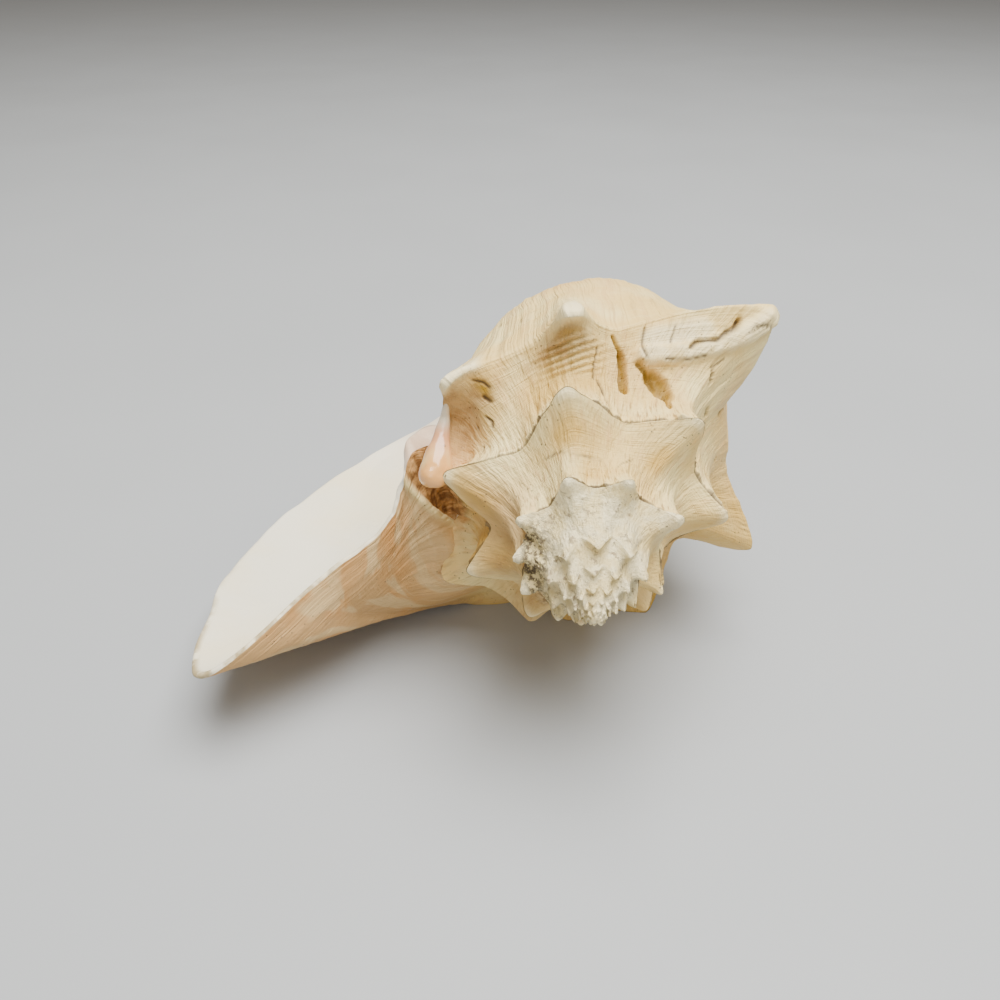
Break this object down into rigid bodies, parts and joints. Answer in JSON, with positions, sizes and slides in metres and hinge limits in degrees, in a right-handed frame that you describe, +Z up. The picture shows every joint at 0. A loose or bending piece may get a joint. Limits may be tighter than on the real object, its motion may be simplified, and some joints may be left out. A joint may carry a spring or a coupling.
{
  "type": "queen conch shell",
  "caption": "Large spined sea-snail shell lying mouth up: coiled spire with blunt spines, tapering body whorl and a broad flared lip around an open mouth.",
  "frame": {"origin": "middle of the bounding box's base, on the surface that the shell lies on", "axes": "+Y along the coiling axis from the apex to the front canal, +Z up, the flared lip reaching towards -X"},
  "size_m": [0.1672, 0.2204, 0.1145],
  "materials": {
    "shell": "chalky worn outside, smooth porcelain lip"
  },
  "bodies": {
    "root": {"conch_shell": "shell"}
  },
  "joints": []
}
